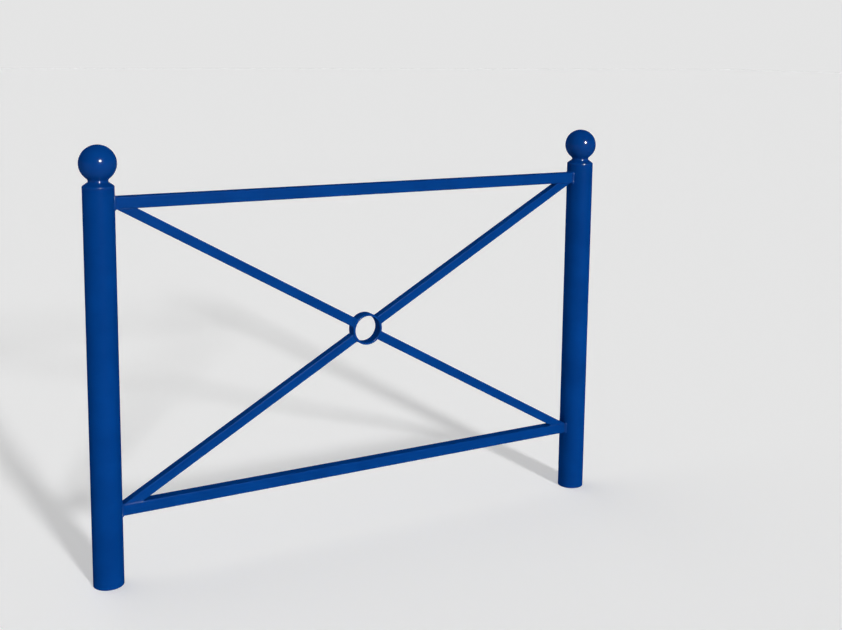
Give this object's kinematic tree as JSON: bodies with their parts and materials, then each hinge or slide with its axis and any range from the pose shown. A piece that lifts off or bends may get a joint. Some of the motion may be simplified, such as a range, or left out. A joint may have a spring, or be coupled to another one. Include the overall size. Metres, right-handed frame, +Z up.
{
  "type": "pedestrian barrier",
  "caption": "Welded steel street barrier: round posts with ball finials, a top and a bottom rail, and crossed braces meeting at a ring.",
  "frame": {"origin": "centre of the left post's foot face, on the post's axis at ground level", "axes": "+X along the barrier from the left post to the right post, +Y through the panel away from the front, +Z up"},
  "size_m": [1.514, 0.09, 1.101],
  "materials": {
    "blue_paint": "glossy powder coat"
  },
  "bodies": {
    "root": {"left_post": "blue_paint", "left_collar": "blue_paint", "left_ball": "blue_paint", "left_ball_weld": "blue_paint", "right_post": "blue_paint", "right_collar": "blue_paint", "right_ball": "blue_paint", "right_ball_weld": "blue_paint", "top_rail": "blue_paint", "bottom_rail": "blue_paint", "top_left_brace": "blue_paint", "top_right_brace": "blue_paint", "bottom_left_brace": "blue_paint", "bottom_right_brace": "blue_paint", "centre_ring": "blue_paint", "top_left_rail_weld": "blue_paint", "top_right_rail_weld": "blue_paint", "bottom_left_rail_weld": "blue_paint", "bottom_right_rail_weld": "blue_paint", "top_left_brace_weld": "blue_paint", "top_right_brace_weld": "blue_paint", "bottom_left_brace_weld": "blue_paint", "bottom_right_brace_weld": "blue_paint", "top_left_ring_weld": "blue_paint", "top_right_ring_weld": "blue_paint", "bottom_left_ring_weld": "blue_paint", "bottom_right_ring_weld": "blue_paint"}
  },
  "joints": []
}
